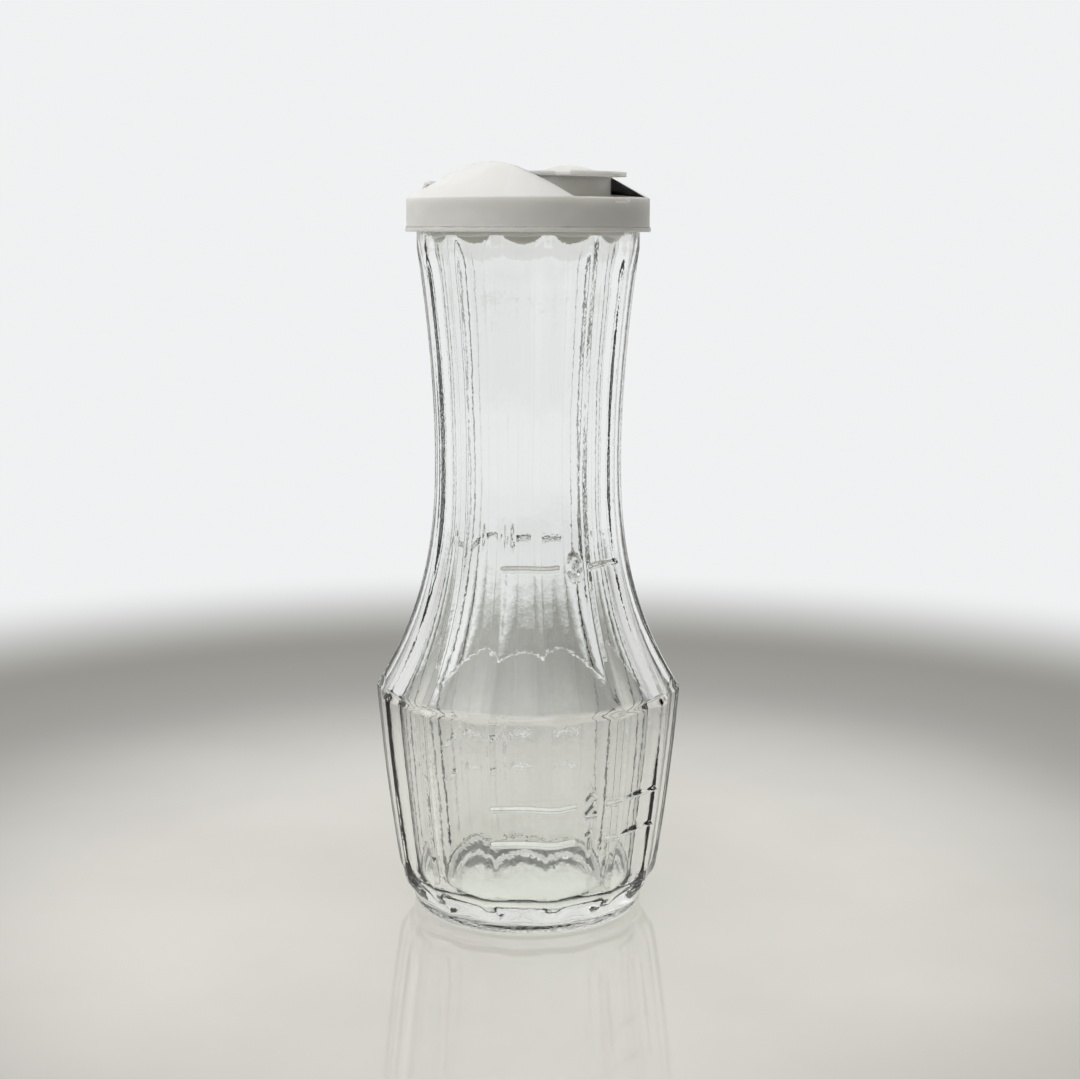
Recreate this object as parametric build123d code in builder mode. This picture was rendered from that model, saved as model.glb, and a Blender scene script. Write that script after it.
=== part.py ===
from build123d import *
import os
from math import asin, cos, degrees, radians, sin, tan

# Pressed-glass dressing cruet with a push-in cap and a hinged flip cover.
# Origin: centre of the foot, on the surface that the bottle stands on. +Z is up, and the pouring
# side of the cap faces -Y. Lengths are in millimetres and angles in degrees.

# Bottle, heights above the table
foot_height = 3.2
heel_height = 8.0
shoulder_height = 57.0
waist_height = 118.0
rim_height = 179.2
finish_height = 10.2

# Bottle, radii over the ridges
foot_radius = 29.8
foot_seat_radius = 28.4
foot_scallop = 0.985
heel_radius = 33.6
shoulder_radius = 39.3
waist_radius = 23.7
finish_radius = 27.8

# Bottle, flutes and walls
flute_count = 14
ridge_width = 2.2
flute_hollow = 0.034
neck_swell_power = 2.5
neck_flare_power = 1.8
body_bulge = 0.5
runout_height = 3.6
runout_reach = 1.3
glass_wall = 2.6
finish_wall = 3.0
bore_depth = 11.2
throat_length = 5.0
floor_height = 7.2
corner_width = 7.0
corner_height = 8.8
base_recess_depth = 2.4
base_recess_radius = 25.0
base_recess_draft = 4.0
rim_bevel = 0.9
body_steps = 5
neck_steps = 16
wall_steps = 16

# Measuring lines, raised on two opposite sides
mark_turn = -25.6
mark_heights = (25.5, 34.8, 91.8)
mark_flutes = 3
mark_proud = 0.55
mark_thickness = 0.9
mark_gap = 7.0
mark_inset = 1.8

# Cap
cap_wall = 1.6
skirt_wall = 1.95
skirt_height = 8.2
rim_gap = 0.2
skirt_bead = 0.3
skirt_bead_height = 1.0
wing_slope = 28.0
channel_half = 13.8
deck_rise = 4.9
deck_radius = 20.5
deck_back = 18.2
seal_length = 8.2
seal_wall = 1.4
seal_lead = 1.5
seal_rib = 0.12
seal_rib_height = 1.2
cap_fit = 0.45
seal_fit = 0.06
thumb_notch_half = 2.6
thumb_notch_depth = 0.6
thumb_notch_height = 1.1

# Pouring hole and flip cover
hole_radius = 5.5
hole_setback = 11.5
cover_thickness = 1.2
cover_gap = 0.1
side_gap = 0.4
cover_front = 20.8
cover_shoulder = 14.0
tab_half = 10.6
tab_radius = 25.1
strap_bend = 16.9
strap_under = 18.7
strap_overlap = 1.0
strap_angle = 60.0
stopper_wall = 1.1
stopper_depth = 2.8
stopper_gap = 0.25

# Hinge
hinge_back = 21.5
hinge_rise = 2.3
barrel_radius = 1.9
pin_radius = 1.2
pin_fit = 0.06
ear_gap = 0.3
ear_radius = 2.0

pitch = 360 / flute_count
neck_top = rim_height - finish_height
bore_radius = finish_radius - finish_wall
bore_bottom = rim_height - bore_depth
throat_bottom = bore_bottom - throat_length
corner_top = floor_height + corner_height
seal_radius = bore_radius - seal_fit - seal_rib
skirt_inner = finish_radius + cap_fit
cap_radius = skirt_inner + skirt_wall
skirt_top = rim_height + rim_gap + cap_wall
skirt_bottom = skirt_top - skirt_height
deck_height = skirt_top + deck_rise
hinge_height = skirt_top + hinge_rise
ear_inner = tab_half + ear_gap
deck_length = deck_radius + deck_back
cone_rise = (cap_radius - channel_half) * tan(radians(wing_slope))
roof_drop = cap_wall / cos(radians(wing_slope))
cut_over = 1.0


def on_circle(radius, bearing):
    """A point at a bearing that is counted from -Y towards +X."""
    return (radius * sin(radians(bearing)), -radius * cos(radians(bearing)))


def ridge_radius(height):
    """Radius over the ridges: a slightly bulged taper up to the shoulder, then power curves."""
    if height <= shoulder_height:
        along = (height - heel_height) / (shoulder_height - heel_height)
        bulge = 4 * body_bulge * along * (1 - along)
        return heel_radius + (shoulder_radius - heel_radius) * along + bulge
    if height <= waist_height:
        below = (waist_height - height) / (waist_height - shoulder_height)
        return waist_radius + (shoulder_radius - waist_radius) * below**neck_swell_power
    above = (height - waist_height) / (neck_top - waist_height)
    return waist_radius + (finish_radius - waist_radius) * above**neck_flare_power


def flute_radius(height):
    """Radius at the middle of a flute, which lies inside the straight line between two ridges."""
    return ridge_radius(height) * (cos(radians(pitch / 2)) - flute_hollow)


def inner_radius(height):
    """The inside follows the flutes' middles, smoothed over the shoulder as blown glass is."""
    steps = (-9, -6, -3, 0, 3, 6, 9)
    return sum(flute_radius(height + step) for step in steps) / len(steps) - glass_wall


def corner_point(turn):
    """A point on the inside's rounded lower corner, from the wall at 0 to the floor at 90."""
    inset = corner_width * (1 - cos(radians(turn)))
    return (inner_radius(corner_top) - inset, corner_top - corner_height * sin(radians(turn)))


def fluted_outline(height, radius, middle):
    """One cross-section: narrow ridges on a circle, joined by arcs through the flutes' middles."""
    half_ridge = degrees(asin(ridge_width / 2 / radius))
    with BuildSketch(Plane.XY.offset(height)) as outline:
        with BuildLine():
            for flute in range(flute_count):
                ridge = mark_turn + (flute + 0.5) * pitch
                ridge_end = on_circle(radius, ridge + half_ridge)
                next_ridge = on_circle(radius, ridge + pitch - half_ridge)
                ThreePointArc(on_circle(radius, ridge - half_ridge), on_circle(radius, ridge), ridge_end)
                ThreePointArc(ridge_end, on_circle(middle, ridge + pitch / 2), next_ridge)
        make_face()
    return outline.sketch


def body_section(height, proud=0.0):
    """The bottle's own cross-section at a height, or one that stands proud of it."""
    return fluted_outline(height, ridge_radius(height) + proud, flute_radius(height) + proud)


def flute_circle(radius, middle):
    """Centre distance and radius of the circle that a flute's arc lies on."""
    half_flute = radians(pitch / 2) - asin(ridge_width / 2 / radius)
    centre = (radius**2 - middle**2) / (2 * (radius * cos(half_flute) - middle))
    return centre, centre - middle


# Measuring line: a slab of the cross-section, kept over three flutes, with a gap for its numeral
def measuring_line(height, bearing):
    gap_half = degrees(asin(mark_gap / 2 / ridge_radius(height)))
    end_half = pitch * mark_flutes / 2 - degrees(asin(mark_inset / ridge_radius(height)))
    reach = shoulder_radius * 2
    with BuildPart() as line:
        add(body_section(height - mark_thickness / 2, mark_proud))
        extrude(amount=mark_thickness, dir=(0, 0, 1))
        with BuildSketch(Plane.XY.offset(height - mark_thickness)):
            for side in (-1, 1):
                inner_edge = bearing + side * gap_half
                outer_edge = bearing + side * end_half
                with BuildLine():
                    Polyline((0, 0), on_circle(reach, inner_edge), on_circle(reach, outer_edge), close=True)
                make_face()
        extrude(amount=mark_thickness * 2, mode=Mode.INTERSECT)
    return line.part


lines = [measuring_line(height, mark_turn + turn) for height in mark_heights for turn in (0, 180)]

# Run-out: the slanted cylinder that ends one flute in an arched top under the round finish
with BuildPart() as runout:
    circle_centre, circle_radius = flute_circle(finish_radius, flute_radius(neck_top))
    runout_shift = (finish_radius - flute_radius(neck_top)) * runout_reach
    with BuildSketch(Plane.XY.offset(neck_top)):
        with Locations(on_circle(circle_centre, mark_turn)):
            Circle(circle_radius)
    with BuildSketch(Plane.XY.offset(neck_top + runout_height * runout_reach)):
        with Locations(on_circle(circle_centre + runout_shift, mark_turn)):
            Circle(circle_radius)
    loft(ruled=True)

# Heights of the cross-sections: even in the body, and closest at the shoulder in the neck
body_heights = [heel_height + (shoulder_height - heel_height) * step / body_steps for step in range(body_steps)]
neck_shares = [(step / neck_steps) ** 1.5 for step in range(neck_steps + 1)]
neck_heights = [shoulder_height + (neck_top - shoulder_height) * share for share in neck_shares]
wall_heights = [throat_bottom + (corner_top - throat_bottom) * step / wall_steps for step in range(wall_steps + 1)]

# Bottle: pressed glass, fluted from the heel to the finish
with BuildPart() as bottle:
    with BuildSketch(Plane.XZ):
        with BuildLine():
            foot_edge = (foot_radius, foot_radius - foot_seat_radius)
            foot_line = Polyline((0, 0), (foot_seat_radius, 0), foot_edge, (foot_radius, foot_height))
            Polyline(foot_line @ 1, (0, foot_height), (0, 0))
        make_face()
    revolve(axis=Axis.Z)
    foot_outline = fluted_outline(foot_height, foot_radius, foot_radius * foot_scallop)
    loft(sections=[foot_outline, body_section(heel_height)], ruled=True)
    loft(sections=[body_section(height) for height in body_heights + neck_heights], ruled=True)
    with BuildSketch(Plane.XY.offset(neck_top)):
        Circle(finish_radius)
    extrude(amount=rim_height - neck_top)
    with PolarLocations(0, flute_count):
        add(runout.part, mode=Mode.SUBTRACT)
    add(lines)
    with BuildSketch(Plane.XZ):
        with BuildLine():
            bore_top = rim_height + cut_over
            bore = [(0, floor_height), (0, bore_top), (bore_radius, bore_top), (bore_radius, bore_bottom)]
            wall = [(inner_radius(height), height) for height in wall_heights]
            corner = [corner_point(turn) for turn in (30, 60, 90)]
            Polyline(bore + wall + corner, close=True)
        make_face()
    revolve(axis=Axis.Z, mode=Mode.SUBTRACT)
    with BuildSketch(Plane.XZ):
        with BuildLine():
            recess_edge = (base_recess_radius - base_recess_draft, base_recess_depth)
            Polyline((0, 0), (base_recess_radius, 0), recess_edge, (0, base_recess_depth), close=True)
        make_face()
    revolve(axis=Axis.Z, mode=Mode.SUBTRACT)
    rim_edges = bottle.edges().filter_by(GeomType.CIRCLE).group_by(Axis.Z)[-1]
    chamfer(rim_edges, length=rim_bevel)
bottle.part.label = "bottle"


def cone_height(radius):
    """Height of the cap's conical top at a radius."""
    return skirt_top + (cap_radius - radius) * tan(radians(wing_slope))


# Space under the cap's roof, open to the neck, under the wings and under the deck
with BuildPart() as cap_hollow:
    with BuildSketch(Plane.XZ):
        with BuildLine():
            Polyline(
                (0, skirt_bottom - cut_over),
                (skirt_inner, skirt_bottom - cut_over),
                (skirt_inner, cone_height(skirt_inner) - roof_drop),
                (0, cone_height(0) - roof_drop),
                close=True,
            )
        make_face()
    revolve(axis=Axis.Z)
    with BuildSketch(Plane.XY.offset(skirt_top - cap_wall)):
        Rectangle((channel_half + cap_wall) * 2, cap_radius * 3)
    extrude(amount=cone_rise * 2, mode=Mode.SUBTRACT)
    with BuildSketch(Plane.XY.offset(skirt_top - cap_wall)):
        Circle(deck_radius - cap_wall)
        with Locations((0, (deck_back - deck_radius) / 2)):
            Rectangle(channel_half * 2, deck_length - cap_wall * 2, mode=Mode.INTERSECT)
    extrude(amount=deck_height - skirt_top)

# Sealing skirt: a ring under the roof, with a low rib that presses on the bore
with BuildPart() as seal_ring:
    seal_bottom = rim_height - seal_length
    rib_bottom = seal_bottom + seal_lead * 2
    with BuildSketch(Plane.XZ):
        with BuildLine():
            Polyline(
                (seal_radius - seal_wall, seal_bottom),
                (seal_radius - seal_wall / 3, seal_bottom),
                (seal_radius, seal_bottom + seal_lead),
                (seal_radius, rib_bottom),
                (seal_radius + seal_rib, rib_bottom + seal_rib_height / 2),
                (seal_radius, rib_bottom + seal_rib_height),
                (seal_radius, cone_height(seal_radius) - roof_drop / 2),
                (seal_radius - seal_wall, cone_height(seal_radius - seal_wall) - roof_drop / 2),
                close=True,
            )
        make_face()
    revolve(axis=Axis.Z)
    with BuildSketch(Plane.XY.offset(skirt_top - cap_wall / 2)):
        Rectangle((channel_half + cap_wall / 2) * 2, cap_radius * 3)
    extrude(amount=cone_rise * 2, mode=Mode.SUBTRACT)

# Cap: skirt, two wings of a cone with a channel between them, deck and hinge ears
with BuildPart() as cap:
    with BuildSketch(Plane.XZ):
        with BuildLine():
            Polyline(
                (0, skirt_bottom),
                (cap_radius + skirt_bead, skirt_bottom),
                (cap_radius + skirt_bead, skirt_bottom + skirt_bead_height),
                (cap_radius, skirt_bottom + skirt_bead_height + skirt_bead),
                (cap_radius, skirt_top),
                (0, cone_height(0)),
                close=True,
            )
        make_face()
    revolve(axis=Axis.Z)
    with BuildSketch(Plane.XY.offset(skirt_top)):
        Rectangle(channel_half * 2, cap_radius * 3)
    extrude(amount=cone_rise * 2, mode=Mode.SUBTRACT)
    with BuildSketch(Plane.XY.offset(skirt_top)):
        Circle(deck_radius)
        with Locations((0, (deck_back - deck_radius) / 2)):
            Rectangle(channel_half * 2, deck_length, mode=Mode.INTERSECT)
    extrude(amount=deck_height - skirt_top)
    add(cap_hollow.part, mode=Mode.SUBTRACT)
    add(seal_ring.part)
    with BuildSketch(Plane.XY.offset(deck_height)):
        with Locations((0, -hole_setback)):
            Circle(hole_radius)
    extrude(amount=-cap_wall * 2, mode=Mode.SUBTRACT)
    with BuildSketch(Plane.XY.offset(skirt_top)):
        with Locations((0, -cap_radius)):
            Rectangle(thumb_notch_half * 2, thumb_notch_depth * 2)
    extrude(amount=-thumb_notch_height, mode=Mode.SUBTRACT)
    for side in (-1, 1):
        with BuildSketch(Plane.YZ.offset(side * ear_inner)):
            with Locations((hinge_back, hinge_height)):
                Circle(ear_radius)
            with Locations((hinge_back, (hinge_height + skirt_top) / 2)):
                Rectangle(ear_radius * 2, hinge_height - skirt_top)
        extrude(amount=side * (channel_half - ear_inner))
    with BuildSketch(Plane.YZ.offset(-channel_half)):
        with Locations((hinge_back, hinge_height)):
            Circle(pin_radius + pin_fit)
    extrude(amount=channel_half * 2, mode=Mode.SUBTRACT)
cap.part.label = "cap"

# Flip cover: plate, thumb tab, stopper ring, strap, hinge barrel and pins in one moulding
plate_bottom = deck_height + cover_gap
plate_top = plate_bottom + cover_thickness
strap_end = (
    hinge_back + barrel_radius * cos(radians(strap_angle)),
    hinge_height + barrel_radius * sin(radians(strap_angle)),
)
with BuildPart() as flip_cover:
    with BuildSketch(Plane.XY.offset(plate_bottom)):
        Circle(cover_front)
        with Locations((0, (cover_shoulder - cap_radius) / 2)):
            Rectangle((channel_half - side_gap) * 2, cover_shoulder + cap_radius, mode=Mode.INTERSECT)
    extrude(amount=cover_thickness)
    with BuildSketch(Plane.XY.offset(plate_bottom)):
        Circle(tab_radius)
        with Locations((0, -tab_radius / 2)):
            Rectangle(tab_half * 2, tab_radius, mode=Mode.INTERSECT)
    extrude(amount=cover_thickness)
    with BuildSketch(Plane.YZ.offset(-tab_half)):
        with BuildLine():
            Polyline(
                (cover_shoulder - strap_overlap, plate_bottom),
                (cover_shoulder - strap_overlap, plate_top),
                (strap_bend, plate_top),
                strap_end,
                (hinge_back, hinge_height),
                (strap_under, plate_bottom),
                close=True,
            )
        make_face()
        with Locations((hinge_back, hinge_height)):
            Circle(barrel_radius)
    extrude(amount=tab_half * 2)
    with BuildSketch(Plane.YZ.offset(-channel_half + side_gap)):
        with Locations((hinge_back, hinge_height)):
            Circle(pin_radius)
    extrude(amount=(channel_half - side_gap) * 2)
    with BuildSketch(Plane.XY.offset(plate_bottom)):
        with Locations((0, -hole_setback)):
            Circle(hole_radius - stopper_gap)
            Circle(hole_radius - stopper_gap - stopper_wall, mode=Mode.SUBTRACT)
    extrude(amount=-stopper_depth)
flip_cover.part.label = "flip_cover"

os.makedirs("parts", exist_ok=True)
for piece in (bottle, cap, flip_cover):
    export_step(piece.part, f"parts/{piece.part.label}.step")
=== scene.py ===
import math

import bmesh
import bpy
import numpy as np
from mathutils import Matrix, Vector


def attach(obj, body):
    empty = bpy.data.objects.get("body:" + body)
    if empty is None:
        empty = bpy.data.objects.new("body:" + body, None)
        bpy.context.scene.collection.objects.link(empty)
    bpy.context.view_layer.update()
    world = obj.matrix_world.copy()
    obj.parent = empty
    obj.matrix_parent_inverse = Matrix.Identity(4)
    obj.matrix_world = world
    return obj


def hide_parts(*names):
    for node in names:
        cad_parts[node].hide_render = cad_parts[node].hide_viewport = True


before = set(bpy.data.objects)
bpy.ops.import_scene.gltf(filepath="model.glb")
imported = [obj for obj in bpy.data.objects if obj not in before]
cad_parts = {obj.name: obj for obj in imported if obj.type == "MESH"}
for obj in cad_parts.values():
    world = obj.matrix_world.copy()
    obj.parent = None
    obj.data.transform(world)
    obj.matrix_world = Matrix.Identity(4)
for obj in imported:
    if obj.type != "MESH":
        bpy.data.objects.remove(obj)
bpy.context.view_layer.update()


# Bottle: one piece of clear soda glass, pressed in a mould and fire-polished. It has fourteen
# shallow flutes between narrow ridges, a round foot and finish, and measuring lines that stand
# proud on two opposite sides. Sizes are in millimetres, and bearings run from -Y towards +X.
MM = 0.001
FLUTES = 14
PITCH = math.radians(360 / FLUTES)
MARK_TURN = math.radians(-25.6)
HEEL, SHOULDER, WAIST, NECK_TOP, RIM = 8.0, 57.0, 118.0, 169.0, 179.2
FOOT_TOP, FOOT_ROUND, FOOT_SEAT = 3.2, 1.4, (25.6, 27.2)
FOOT_RADIUS, HEEL_RADIUS, SHOULDER_RADIUS = 29.8, 33.6, 39.3
WAIST_RADIUS, FINISH_RADIUS = 23.7, 27.8
BODY_BULGE, SWELL_POWER, FLARE_POWER = 0.5, 2.5, 1.8
RIDGE_WIDTH, FLUTE_HOLLOW = 2.3, 0.014
RUNOUT_FOOT, RUNOUT_TOP = 165.0, 173.0
POLISH, INSIDE_POLISH, HEEL_POLISH, RIDGE_POLISH = 0.45, 0.6, 0.5, 0.8
GLASS_WALL, BORE_RADIUS, BORE_MIDDLE, BORE_FOOT, RIM_ROUND = 2.6, 24.8, 173.0, 168.0, 1.3
FLOOR, FLOOR_CROWN, CORNER_TOP, CORNER = 7.2, 0.5, 14.0, 5.5
DOME, DOME_RADIUS, POLE = 2.4, 25.0, 2.0


def ridge_radius(height):
    """Radius over the ridges: a slightly bulged taper to the shoulder, then two power curves."""
    along = (np.clip(height, HEEL, SHOULDER) - HEEL) / (SHOULDER - HEEL)
    bulge = 4 * BODY_BULGE * along * (1 - along)
    body = HEEL_RADIUS + (SHOULDER_RADIUS - HEEL_RADIUS) * along + bulge
    below = np.clip((WAIST - height) / (WAIST - SHOULDER), 0, 1)
    above = np.clip((height - WAIST) / (NECK_TOP - WAIST), 0, 1)
    neck = WAIST_RADIUS + (SHOULDER_RADIUS - WAIST_RADIUS) * below**SWELL_POWER
    neck = neck + (FINISH_RADIUS - WAIST_RADIUS) * above**FLARE_POWER
    return np.where(height <= SHOULDER, body, neck)


def spread(profile, height, reach, steps):
    """Mean of a profile over a stretch of heights, which rounds its corners as polishing does."""
    return sum(profile(height + d) for d in np.linspace(-reach, reach, steps)) / steps


def soft_min(a, b, softness):
    """The lower of two values, rounded where they cross: half of a + b - sqrt((a - b)^2 + s^2)."""
    return (a + b - np.sqrt((a - b) ** 2 + softness**2)) / 2


def soft_max(a, b, softness):
    """The higher of two values, rounded where they cross."""
    return -soft_min(-a, -b, softness)


def ease(value):
    """0 below 0, 1 above 1 and a smooth step in between: v^2 (3 - 2 v)."""
    value = np.clip(value, 0, 1)
    return value * value * (3 - 2 * value)


def sharp_radius(bearing, height):
    """Radius of the wall before the ridges are rounded: their circle, less each flute's depth.

    A flute is hollowed by a circle whose centre lies outside the wall, so its near side is at
    c cos(a) - sqrt(r^2 - c^2 sin(a)^2), where a is the bearing from the flute's middle. At the top
    of the neck its depth fades as 1 - h^2, which ends it below the round finish.
    """
    ridge = spread(ridge_radius, height, POLISH, 7)
    middle = ridge * (math.cos(PITCH / 2) - FLUTE_HOLLOW)
    half = PITCH / 2 - np.arcsin(RIDGE_WIDTH / 2 / ridge)
    centre = (ridge**2 - middle**2) / (2 * (ridge * np.cos(half) - middle))
    hollow = centre - middle
    angle = (bearing - MARK_TURN + PITCH / 2) % PITCH - PITCH / 2
    chord = np.sqrt(np.maximum(hollow**2 - (centre * np.sin(angle)) ** 2, 0))
    flute = centre * np.cos(angle) - chord
    left = 1 - np.clip((height - RUNOUT_FOOT) / (RUNOUT_TOP - RUNOUT_FOOT), 0, 1) ** 2
    return ridge - np.maximum(ridge - flute, 0) * left


def fluted_radius(bearing, height):
    """The wall's mean over a short way round, weighted to its middle, which rounds the ridges."""
    reach = RIDGE_POLISH / ridge_radius(height)
    taps = tuple(zip((1, 2, 3, 4, 3, 2, 1), np.linspace(-0.75, 0.75, 7)))
    total = sum(weight * sharp_radius(bearing + shift * reach, height) for weight, shift in taps)
    return total / sum(weight for weight, _ in taps)


def outer_radius(bearing, height):
    """The fluted wall, cut by the heel's slanted facets, which end on the round foot."""
    body = fluted_radius(bearing, np.maximum(height, HEEL - 1))
    rise = (height - FOOT_TOP) / (HEEL - FOOT_TOP)
    heel = fluted_radius(bearing, np.full_like(height, HEEL))
    facet = FOOT_RADIUS + (heel - FOOT_RADIUS) * rise
    foot = np.full_like(facet, FOOT_RADIUS)
    return soft_min(body, soft_max(foot, facet, HEEL_POLISH), HEEL_POLISH)


def inner_radius(height):
    """The inside is turned, a wall's thickness in from the flutes' middles."""
    ridge = spread(ridge_radius, height, INSIDE_POLISH, 5)
    return ridge * (math.cos(PITCH / 2) - FLUTE_HOLLOW) - GLASS_WALL


# Each measuring line has a numeral in its gap: (line's height, numeral's height, numeral)
MARKS = ((25.5, 4.6, "1"), (34.8, 4.6, "2"), (91.8, 4.8, "3"))
LINE_PROUD, LINE_HALF, LINE_REACH = 0.85, 0.75, math.radians(36.8)
GAP_HALF, GAP_SHIFT = 4.1, 1.8
GAP_EASE, END_EASE = 0.5, 0.02
STROKE_HALF = 0.75
WORN_BACK = 0.5


def arc(across, up, radius, start, end):
    """Points along an arc, from one angle to the other, in shares of the numeral's height."""
    turn = np.radians(np.linspace(start, end, 24))
    return np.stack([across + radius * np.cos(turn), up + radius * np.sin(turn)], -1)


def stroke(*corners):
    """Points along the straight runs between corners, in shares of the numeral's height."""
    return np.concatenate([np.linspace(a, b, 16) for a, b in zip(corners[:-1], corners[1:])])


NUMERALS = {
    "1": stroke((-0.18, 0.3), (0.02, 0.5), (0.02, -0.5)),
    "2": np.concatenate(
        [arc(0, 0.22, 0.28, 165, -40), stroke((0.2, 0.04), (-0.29, -0.5), (0.31, -0.5))]
    ),
    "3": np.concatenate([arc(0, 0.235, 0.265, 155, -80), arc(0, -0.215, 0.285, 80, -155)]),
}


def mark_relief(bearing, height):
    """How far the lines and numerals stand proud: cos^2 of the distance from a line's or a stroke's
    middle, which is a quarter turn at its edge. The back of the body is the more worn side."""
    proud = np.zeros(np.broadcast(bearing, height).shape)
    for turn in (MARK_TURN, MARK_TURN + math.pi):
        aside = (bearing - turn + math.pi) % (2 * math.pi) - math.pi
        for level, tall, numeral in MARKS:
            around = aside * ridge_radius(np.array(level)) - GAP_SHIFT
            above = height - level
            line = np.cos(np.clip(above / LINE_HALF, -1, 1) * math.pi / 2) ** 2
            line = line * ease((np.abs(around) - GAP_HALF) / GAP_EASE + 0.5)
            line = line * ease((LINE_REACH - np.abs(aside)) / END_EASE + 0.5)
            near = (np.abs(around) < tall) & (np.abs(above) < tall)
            place = [np.broadcast_to(part, near.shape)[near] for part in (around, above)]
            apart = np.stack(place, -1)[:, None, :] - NUMERALS[numeral] * tall
            far = np.sqrt((apart**2).sum(-1)).min(1)
            glyph = np.zeros(near.shape)
            glyph[near] = np.cos(np.clip(far / STROKE_HALF, 0, 1) * math.pi / 2) ** 2
            kept = WORN_BACK if turn > math.pi / 2 and level < SHOULDER else 1.0
            proud = np.maximum(proud, np.maximum(line, glyph) * kept)
    return proud * LINE_PROUD


def columns_at(height):
    """Bearings of the mesh's columns: at fixed distances from each ridge's middle, then in equal
    shares of the rest of the flute, which are finer in the two flutes that carry numerals."""
    ridge = ridge_radius(height)[:, None]
    beside_ridge = np.arcsin(np.array([0, 0.4, 0.7, 0.9, 1.1, 1.3, 1.5, 1.8, 2.2]) / ridge)
    last = beside_ridge[:, -1:]
    columns = []
    for flute in range(FLUTES):
        shares = np.linspace(0, 1, 6 if flute % (FLUTES // 2) else 24)[None, 1:]
        side = np.concatenate([beside_ridge, last + (PITCH / 2 - last) * shares], 1)
        columns += [PITCH * (flute - 0.5) + side, PITCH * (flute + 0.5) - side[:, -2:0:-1]]
    return np.concatenate(columns, 1) + MARK_TURN


def add_object(name, data):
    """Puts a mesh or a camera into the scene, at the origin."""
    made = bpy.data.objects.new(name, data)
    bpy.context.scene.collection.objects.link(made)
    return made


def closed_shell(name, radius, height, bearing):
    """A closed shell from rows of rings, from the underside's centre up the outside, over the rim
    and down to the inside's centre. Row r at bearing b is the point (r sin b, -r cos b, height)."""
    rows, columns = radius.shape
    rings = np.stack([radius * np.sin(bearing), -radius * np.cos(bearing), height], -1) * MM
    poles = np.array([[0, 0, height[0, 0]], [0, 0, height[-1, 0]]]) * MM
    vertices = np.concatenate([rings.reshape(-1, 3), poles])
    around = np.arange(columns)
    following = (around + 1) % columns
    low, after = (np.arange(rows - 1)[:, None] * columns + side for side in (around, following))
    quads = np.stack([low, after, after + columns, low + columns], -1).reshape(-1, 4)
    last = (rows - 1) * columns
    under = np.stack([np.full(columns, rows * columns), following, around], -1)
    inside = np.stack([np.full(columns, rows * columns + 1), last + around, last + following], -1)
    mesh = bpy.data.meshes.new(name)
    mesh.from_pydata(vertices.tolist(), [], quads.tolist() + under.tolist() + inside.tolist())
    mesh.shade_smooth()
    return add_object(name, mesh)


# Rows of the outside: the heel, the whole wall, the shoulder, the flutes' ends and the marks.
# Rows that come nearer than ROW_GAP to the one below are left out.
ROW_GAP = 0.12
outer_z = [np.arange(1.8, 9.4, 0.5), np.arange(9.4, 176, 2.8)]
outer_z += [np.arange(55.6, 58.6, 0.35), np.arange(165, 175, 0.7)]
for level, tall, _ in MARKS:
    outer_z.append(level + np.linspace(-0.62, 0.62, 3) * tall)
    outer_z.append(level + np.arange(-0.5, 0.51, 0.065) * tall)
outer_z = np.unique(np.round(np.concatenate(outer_z), 2))
outer_z = outer_z[np.concatenate([[True], np.diff(outer_z) > ROW_GAP])]
outer_turn = columns_at(outer_z)
outer_grid = outer_z[:, None] + 0 * outer_turn
outer_r = outer_radius(outer_turn, outer_grid) + mark_relief(outer_turn, outer_grid)

# Rows of the underside: a shallow spherical dome, the seat and the foot's rounded edge
quarter = np.linspace(0, math.pi / 2, 6)
dome_r = np.linspace(POLE, DOME_RADIUS, 9)
dome_curve = (DOME_RADIUS**2 + DOME**2) / (2 * DOME)
dome_z = DOME - dome_curve + np.sqrt(dome_curve**2 - dome_r**2)
edge_r = FOOT_RADIUS - FOOT_ROUND + FOOT_ROUND * np.sin(quarter)
under_r = np.concatenate([dome_r, FOOT_SEAT, edge_r])
under_z = np.concatenate([dome_z, [0, 0], FOOT_ROUND - FOOT_ROUND * np.cos(quarter)])
under_turn = columns_at(np.full(len(under_z), outer_z[0]))

# Rows of the inside: the rim, the bore, the wall, the rounded corner and a crowned floor
quarter = np.linspace(0, math.pi / 2, 5)
rim_out = FINISH_RADIUS - RIM_ROUND + RIM_ROUND * np.cos(quarter)
rim_in = BORE_RADIUS + RIM_ROUND - RIM_ROUND * np.sin(quarter)
rim_z = RIM - RIM_ROUND + RIM_ROUND * np.concatenate([np.sin(quarter), np.cos(quarter)])
neck_z = np.linspace(NECK_TOP - 6, 60, 19)
wall_z = np.concatenate([neck_z, np.arange(58.4, 55, -0.4), np.linspace(54, CORNER_TOP, 9)])
quarter = np.linspace(0, math.pi / 2, 7)[1:]
corner_r = inner_radius(np.array(CORNER_TOP)) - CORNER + CORNER * np.cos(quarter)
corner_z = CORNER_TOP - (CORNER_TOP - FLOOR) * np.sin(quarter)
floor_r = np.linspace(corner_r[-1], POLE, 6)[1:]
floor_z = FLOOR + FLOOR_CROWN * (1 - (floor_r / corner_r[-1]) ** 2) ** 2
bore_r = [BORE_RADIUS, BORE_RADIUS]
inside_r = np.concatenate([rim_out, rim_in, bore_r, inner_radius(wall_z), corner_r, floor_r])
inside_z = np.concatenate([rim_z, [BORE_MIDDLE, BORE_FOOT], wall_z, corner_z, floor_z])
inside_turn = columns_at(np.maximum(inside_z, CORNER_TOP))

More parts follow.
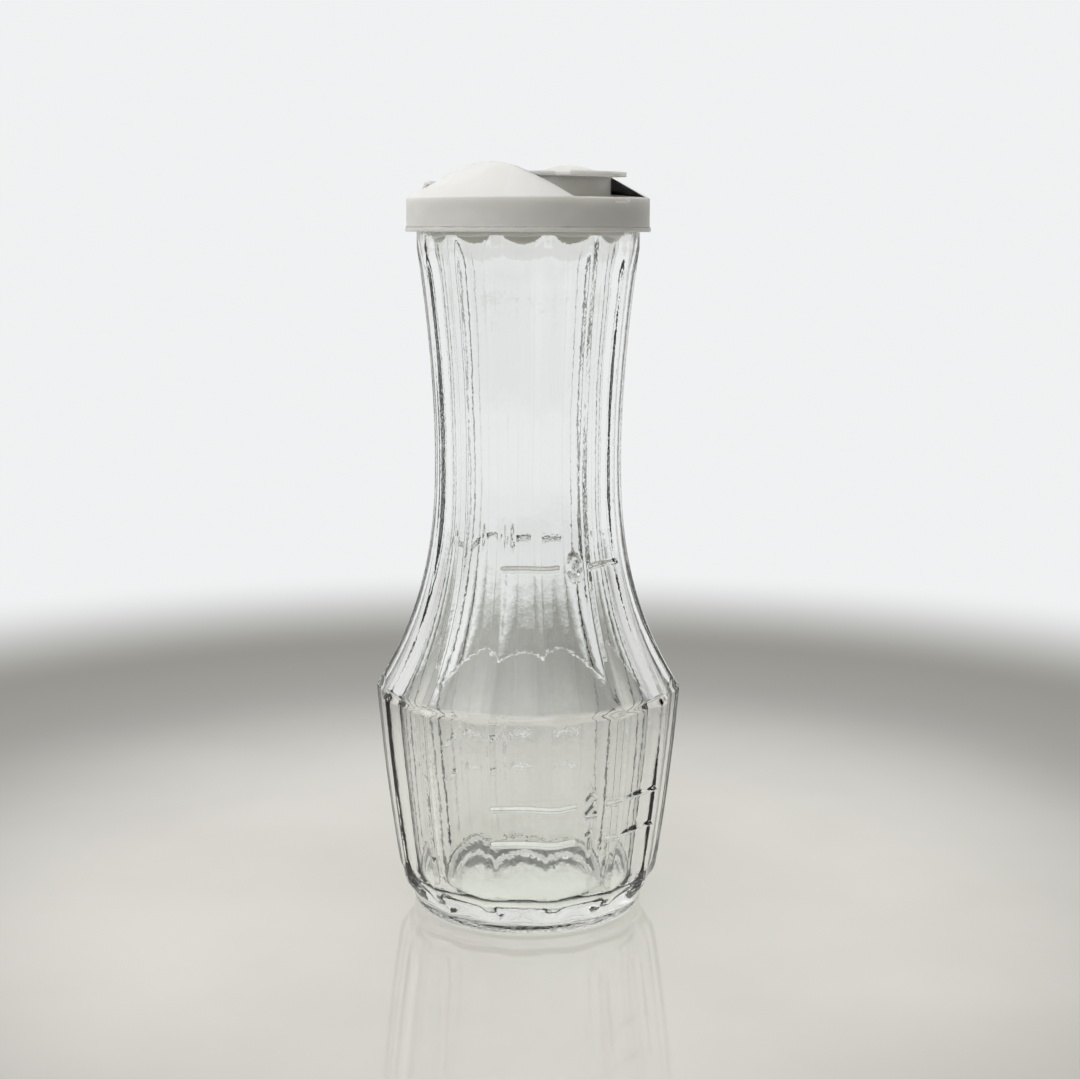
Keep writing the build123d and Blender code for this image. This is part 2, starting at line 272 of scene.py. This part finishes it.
# The plunger and the air leave the inside a little wavy below the finish: three waves are added,
# each the sine of lobes times the bearing, plus the height over a length, plus a start
WAVES = ((3, 9, 0), (5, -6, 1), (2, 15, 2))
WAVE_HEIGHT, WAVE_TOP, WAVE_FADE = 0.07, 160.0, 20.0
down = inside_z[:, None]
sway = sum(np.sin(lobes * inside_turn + down / run + start) for lobes, run, start in WAVES)
sway = sway * WAVE_HEIGHT * ease((WAVE_TOP - down) / WAVE_FADE)
sway = sway * ease(inside_r[:, None] / WAVE_FADE)

bearing = np.concatenate([under_turn, outer_turn, inside_turn])
radius = np.concatenate([under_r[:, None] + 0 * under_turn, outer_r, inside_r[:, None] + sway])
height = np.concatenate([under_z, outer_z, inside_z])[:, None] + 0 * bearing
bottle = closed_shell("bottle_glass", radius, height, bearing)


class Shade:
    """One output in a material. Python's operators on it add Math nodes to the same material."""

    def __init__(self, tree, socket=None):
        self.tree = tree
        self.socket = socket

    def node(self, kind, settings=None, sockets=None, output=0):
        """Adds a node, with its settings first, then its sockets' values or links."""
        made = self.tree.nodes.new(kind)
        for name, value in (settings or {}).items():
            setattr(made, name, value)
        for name, value in (sockets or {}).items():
            if isinstance(value, Shade):
                self.tree.links.new(value.socket, made.inputs[name])
            else:
                made.inputs[name].default_value = value
        return Shade(self.tree, made.outputs[output] if len(made.outputs) else None)

    def other(self, output):
        """Another output of the same node."""
        return Shade(self.tree, self.socket.node.outputs[output])

    def maths(self, operation, *values):
        return self.node("ShaderNodeMath", {"operation": operation}, dict(enumerate(values)))

    def __add__(self, other):
        return self.maths("ADD", self, other)

    def __sub__(self, other):
        return self.maths("SUBTRACT", self, other)

    def __mul__(self, other):
        return self.maths("MULTIPLY", self, other)

    def __rsub__(self, other):
        return self.maths("SUBTRACT", other, self)

    __radd__ = __add__
    __rmul__ = __mul__

    def step(self, low, high):
        """A smooth step from 0 at low to 1 at high."""
        sockets = {"Value": self, "From Min": low, "From Max": high}
        return self.node("ShaderNodeMapRange", {"interpolation_type": "SMOOTHSTEP"}, sockets)

    def colour(self, low, high):
        """The colour low where this is 0, and high where it is 1."""
        sockets = {"Factor": self, 6: low, 7: high}
        return self.node("ShaderNodeMix", {"data_type": "RGBA"}, sockets, output=2)

    def noise(self, scale, detail, distortion=0.0):
        """Noise at this place, with scale waves to the metre."""
        sockets = {"Vector": self, "Scale": scale, "Detail": detail, "Distortion": distortion}
        return self.node("ShaderNodeTexNoise", sockets=sockets)

    def bump(self, strength, distance):
        """The normal of a surface that has this as its relief."""
        sockets = {"Strength": strength, "Distance": distance, "Height": self}
        return self.node("ShaderNodeBump", sockets=sockets, output="Normal")


def new_material(name):
    """An empty node material, and a Shade to add nodes to it."""
    material = bpy.data.materials.new(name)
    material.use_nodes = True
    material.node_tree.nodes.clear()
    return material, Shade(material.node_tree)


GLASS_TINT, FOOT_TINT = (0.955, 0.965, 0.955, 1), (0.93, 0.95, 0.935, 1)
THIN_TINT = (0.955, 0.96, 0.95, 1)
SCUFFED, THICK_FOOT = (0.0003, 0.0022), (0.004, 0.014)
glass, shade = new_material("clear_pressed_glass")
place = shade.node("ShaderNodeTexCoord", output="Object")
ripple = place.noise(190.0, 1.0)
grain = place.noise(900.0, 2.0)
level = shade.node("ShaderNodeSeparateXYZ", sockets={"Vector": place}, output="Z")
scuff = (1 - level.step(*SCUFFED)) * grain.step(0.45, 0.6)
thick = 1 - level.step(*THICK_FOOT)
refracting = shade.node(
    "ShaderNodeBsdfPrincipled",
    sockets={
        "Base Color": thick.colour(GLASS_TINT, FOOT_TINT),
        "Roughness": scuff * 0.25 + 0.008,
        "Normal": (ripple * 0.75 + grain * 0.25).bump(0.09, 0.001),
        "IOR": 1.52,
        "Transmission Weight": 1.0,
    },
)
# Light that only brightens something else passes straight through, as it nearly does in thin glass
shadow = shade.node("ShaderNodeLightPath", output="Is Shadow Ray")
lit_through = shade.maths("MAXIMUM", shadow, shadow.other("Is Diffuse Ray"))
clear = shade.node("ShaderNodeBsdfTransparent", sockets={"Color": THIN_TINT})
both = shade.node("ShaderNodeMixShader", sockets={0: lit_through, 1: refracting, 2: clear})
shade.node("ShaderNodeOutputMaterial", sockets={"Surface": both})
bottle.data.materials.append(glass)
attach(bottle, "bottle_body")
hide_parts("bottle")


# Cap: one white polypropylene moulding, with a skirt over the neck and two wings of a cone on
# either side of a channel, whose deck has the pouring hole. A sealing ring under it is pushed into
# the neck and holds it by friction.
CAP_WHITE = (0.87, 0.855, 0.82)
CAP_EDGE, BEVEL_ANGLE = 0.22, math.radians(35)
# In metres, as the CAD mesh is
SAME_POINT, SAME_PLANE = 1e-6, math.radians(0.05)
RING_REACH, RING_FOOT, RING_RAISED = 0.0255, 0.1722, 0.001


def moulded_plastic(name, white, shift):
    """Satin moulded plastic: fine mould grain, faint flow marks and a little light in its walls."""
    material, shade = new_material(name)
    place = shade.node("ShaderNodeTexCoord", output="Object")
    sockets = {"Vector": place, "Location": (shift, shift, 0)}
    place = shade.node("ShaderNodeMapping", sockets=sockets)
    grain = place.noise(1600.0, 3.0)
    flow = place.noise(70.0, 3.0, 0.6)
    darker = tuple(0.93 * part for part in white)
    plastic = shade.node(
        "ShaderNodeBsdfPrincipled",
        sockets={
            "Base Color": flow.step(0.3, 0.7).colour((*darker, 1), (*white, 1)),
            "Roughness": flow * 0.12 + 0.34,
            "Normal": (grain * 0.5 + flow * 0.5).bump(0.12, 0.0003),
            "IOR": 1.49,
            "Subsurface Weight": 1.0,
            "Subsurface Radius": (1.0, 0.94, 0.85),
            "Subsurface Scale": 0.004,
        },
    )
    shade.node("ShaderNodeOutputMaterial", sockets={"Surface": plastic})
    return material


def read(items, field, width=1):
    """One field of a mesh's corners, points or faces, as an array with a row for each of them."""
    found = np.empty(len(items) * width)
    items.foreach_get(field, found)
    return found.reshape(-1, width) if width > 1 else found


def turned_normals(mesh):
    """Gives faces turned about the upright axis the exact normals of their turned surface.

    Such a face's normal lies in the plane through the axis and the face's middle, and it slants as
    much as one of the large turned faces does. At each of its corners the normal is turned about
    the axis to the corner's own bearing.
    """
    large, leaning, aligned, nearly_aligned, same_slant, tiny = 4e-6, 0.02, 0.995, 0.96, 0.003, 1e-9
    normal, middle = read(mesh.polygons, "normal", 3), read(mesh.polygons, "center", 3)
    flat = np.hypot(normal[:, 0], normal[:, 1])
    away = np.hypot(middle[:, 0], middle[:, 1])
    outward = (normal[:, :2] * middle[:, :2]).sum(1) / np.maximum(flat * away, tiny)
    known = (np.abs(outward) > aligned) & (read(mesh.polygons, "area") > large) & (flat > leaning)
    slant_gap = np.abs(normal[:, 2:] - normal[known, 2]).min(1)
    turned = (np.abs(outward) > nearly_aligned) & (slant_gap < same_slant)
    face = np.repeat(np.arange(len(normal)), read(mesh.polygons, "loop_total").astype(int))
    normal, flat, outward, turned = normal[face], flat[face], outward[face], turned[face]
    point = read(mesh.vertices, "co", 3)[read(mesh.loops, "vertex_index").astype(int)]
    radial = point[:, :2] / np.maximum(np.hypot(point[:, 0], point[:, 1]), tiny)[:, None]
    exact = np.concatenate([radial * (flat * np.sign(outward))[:, None], normal[:, 2:]], 1)
    kept = read(mesh.corner_normals, "vector", 3)
    mesh.normals_split_custom_set(np.where(turned[:, None], exact, kept))


def rounded_moulding(node, name, round_mm):
    """A copy of a CAD node's mesh, merged, with its flat faces joined and its edges rounded."""
    mesh = bpy.data.meshes.new(name)
    shape = bmesh.new()
    shape.from_mesh(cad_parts[node].data)
    bmesh.ops.remove_doubles(shape, verts=shape.verts, dist=SAME_POINT)
    bmesh.ops.dissolve_limit(shape, angle_limit=SAME_PLANE, verts=shape.verts, edges=shape.edges)
    shape.to_mesh(mesh)
    shape.free()
    mesh.shade_smooth()
    piece = add_object(name, mesh)
    edge = piece.modifiers.new("edge", "BEVEL")
    edge.width = round_mm * MM
    edge.segments = 2
    edge.limit_method = "ANGLE"
    edge.angle_limit = BEVEL_ANGLE
    edge.use_clamp_overlap = False
    edge.harden_normals = True
    bpy.context.view_layer.update()
    finished = piece.evaluated_get(bpy.context.evaluated_depsgraph_get())
    rounded = bpy.data.meshes.new_from_object(finished)
    piece.modifiers.clear()
    piece.data = rounded
    turned_normals(rounded)
    return piece


cap = rounded_moulding("cap", "cap_moulding", CAP_EDGE)
# The sealing ring's lower edge is raised by a millimetre, to where it is seen through the glass
point = read(cap.data.vertices, "co", 3)
ring = (np.hypot(point[:, 0], point[:, 1]) < RING_REACH) & (point[:, 2] < RING_FOOT)
point[ring, 2] += RING_RAISED
cap.data.vertices.foreach_set("co", point.ravel())
cap.data.materials.append(moulded_plastic("white_cap_plastic", CAP_WHITE, 0.0))
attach(cap, "cap_body")
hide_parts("cap")


# Flip cover: a second white moulding, clipped between the wings. It is a plate with a thumb tab, a
# stopper ring under it, and a strap down to the barrel and the two pins that it turns on.
COVER_WHITE, COVER_EDGE = (0.885, 0.872, 0.84), 0.2
cover = rounded_moulding("flip_cover", "flip_cover_moulding", COVER_EDGE)
cover.data.materials.append(moulded_plastic("white_cover_plastic", COVER_WHITE, 0.3))
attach(cover, "cover_body")
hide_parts("flip_cover")


# Floor: a pale polished surface with painted shade that darkens it away from the bottle, then a
# darker painted-shade glow that fades into the pale background. A painted pool of light on the
# patch under the bottle stands for light gathered by its glass. Sizes are in metres.
PALE = (0.87, 0.88, 0.885, 1)
FLOOR_LOW, FLOOR_HIGH = (0.66, 0.645, 0.60, 1), (0.73, 0.714, 0.67, 1)
FLOOR_PAINTED_SHADE, FLOOR_PAINTED_LIGHT, PAINTED_SHADE_GLOW = (0.05, 0.048, 0.042, 1), (0.97, 0.96, 0.92, 1), (0.31, 0.305, 0.28, 1)
FLOOR_REACH, FLOOR_DROP = 4.0, 0.0001
PAINTED_LIGHT_PATCH, PAINTED_SHADE_SPAN, FADING, CLEARING = (0.021, 0.031), (0.09, 0.25), (0.17, 0.31), (0.29, 0.46)
square = [(-FLOOR_REACH, -FLOOR_REACH, 0), (FLOOR_REACH, -FLOOR_REACH, 0)]
square += [(FLOOR_REACH, FLOOR_REACH, 0), (-FLOOR_REACH, FLOOR_REACH, 0)]
floor_mesh = bpy.data.meshes.new("floor")
floor_mesh.from_pydata(square, [], [(0, 1, 2, 3)])
floor = add_object("floor", floor_mesh)
floor.location.z = -FLOOR_DROP
polished, shade = new_material("pale_floor")
place = shade.node("ShaderNodeTexCoord", output="Object")
away = shade.node("ShaderNodeVectorMath", {"operation": "LENGTH"}, {0: place}, output="Value")
tone = place.noise(9.0, 4.0).step(0.3, 0.7).colour(FLOOR_LOW, FLOOR_HIGH)
# Painted shade: the floor's colour darkens from the bottle outwards, standing for shade on it
tone = (away.step(*PAINTED_SHADE_SPAN) * 0.66).colour(tone, FLOOR_PAINTED_SHADE)
# Painted light: a pool of lighter colour on the patch under the bottle, where its glass gathers
# light
tone = (1 - away.step(*PAINTED_LIGHT_PATCH)).colour(tone, FLOOR_PAINTED_LIGHT)
sockets = {"Base Color": tone, "Roughness": 0.07, "IOR": 1.5}
surface = shade.node("ShaderNodeBsdfPrincipled", sockets=sockets)
# Painted shade: around the floor, camera, mirror and refracted rays see a darker glow that clears
# to pale
sockets = {"Color": away.step(*CLEARING).colour(PAINTED_SHADE_GLOW, PALE), "Strength": 1.0}
glow = shade.node("ShaderNodeEmission", sockets=sockets)
seen = shade.node("ShaderNodeLightPath", output="Is Camera Ray")
mirrored, through = seen.other("Is Glossy Ray"), seen.other("Is Transmission Ray")
seen = shade.maths("MAXIMUM", shade.maths("MAXIMUM", seen, mirrored), through)
sockets = {0: seen * away.step(*FADING), 1: surface, 2: glow}
both = shade.node("ShaderNodeMixShader", sockets=sockets)
shade.node("ShaderNodeOutputMaterial", sockets={"Surface": both})
floor_mesh.materials.append(polished)

# Light: one broad soft light behind the bottle and a smaller one overhead, towards the left.
# The camera sees a plain pale background in its place.
CAMERA_TURN = math.radians(-48.5)
UPWARDS = Vector((0, 0, 1))
BACK_LIGHT, TOP_LIGHT, DIM = 0.74, 1.6, 0.03
behind = Vector((-math.sin(CAMERA_TURN), math.cos(CAMERA_TURN), 0))
beside = Vector((math.cos(CAMERA_TURN), math.sin(CAMERA_TURN), 0))
overhead = (-beside * 0.5 + UPWARDS * 0.85 - behind * 0.26).normalized()
world = bpy.data.worlds.new("studio")
bpy.context.scene.world = world
world.use_nodes = True
world.node_tree.nodes.clear()
shade = Shade(world.node_tree)
direction = shade.node("ShaderNodeTexCoord", output="Generated")
dot = "ShaderNodeVectorMath", {"operation": "DOT_PRODUCT"}
to_back = shade.node(*dot, {0: direction, 1: behind}, output="Value")
to_top = shade.node(*dot, {0: direction, 1: overhead}, output="Value")
strength = to_back.step(0.1, 0.6) * BACK_LIGHT + to_top.step(0.35, 0.95) * TOP_LIGHT + DIM
sockets = {"Color": (1, 0.995, 0.98, 1), "Strength": strength}
studio = shade.node("ShaderNodeBackground", sockets=sockets)
plain = shade.node("ShaderNodeBackground", sockets={"Color": PALE, "Strength": 1.0})
seen = shade.node("ShaderNodeLightPath", output="Is Camera Ray")
both = shade.node("ShaderNodeMixShader", sockets={0: seen, 1: studio, 2: plain})
shade.node("ShaderNodeOutputWorld", sockets={"Surface": both})

# Camera: it stands at the photograph's viewing angle, with the same frame and a slight roll.
# It has no shift and no depth of field.
PHOTO_WIDTH, FOCAL_PIXELS, SENSOR = 1080, 1786.0, 36.0
DISTANCE, EYE = 0.4512, 0.1728
PITCH_DOWN, YAW, ROLL = math.radians(9.77), math.radians(0.396), math.radians(0.108)
forward = behind * math.cos(YAW) + beside * math.sin(YAW)
level_right = beside * math.cos(YAW) - behind * math.sin(YAW)
ahead = forward * math.cos(PITCH_DOWN) - UPWARDS * math.sin(PITCH_DOWN)
level_up = forward * math.sin(PITCH_DOWN) + UPWARDS * math.cos(PITCH_DOWN)
right = level_right * math.cos(ROLL) + level_up * math.sin(ROLL)
up = level_up * math.cos(ROLL) - level_right * math.sin(ROLL)
camera_data = bpy.data.cameras.new("camera")
camera_data.sensor_width = SENSOR
camera_data.lens = FOCAL_PIXELS * SENSOR / PHOTO_WIDTH
camera = add_object("camera", camera_data)
stand = Matrix.Translation(-behind * DISTANCE + UPWARDS * EYE)
camera.matrix_world = stand @ Matrix((right, up, -ahead)).transposed().to_4x4()
bpy.context.scene.camera = camera
bpy.context.scene.view_settings.view_transform = "Standard"
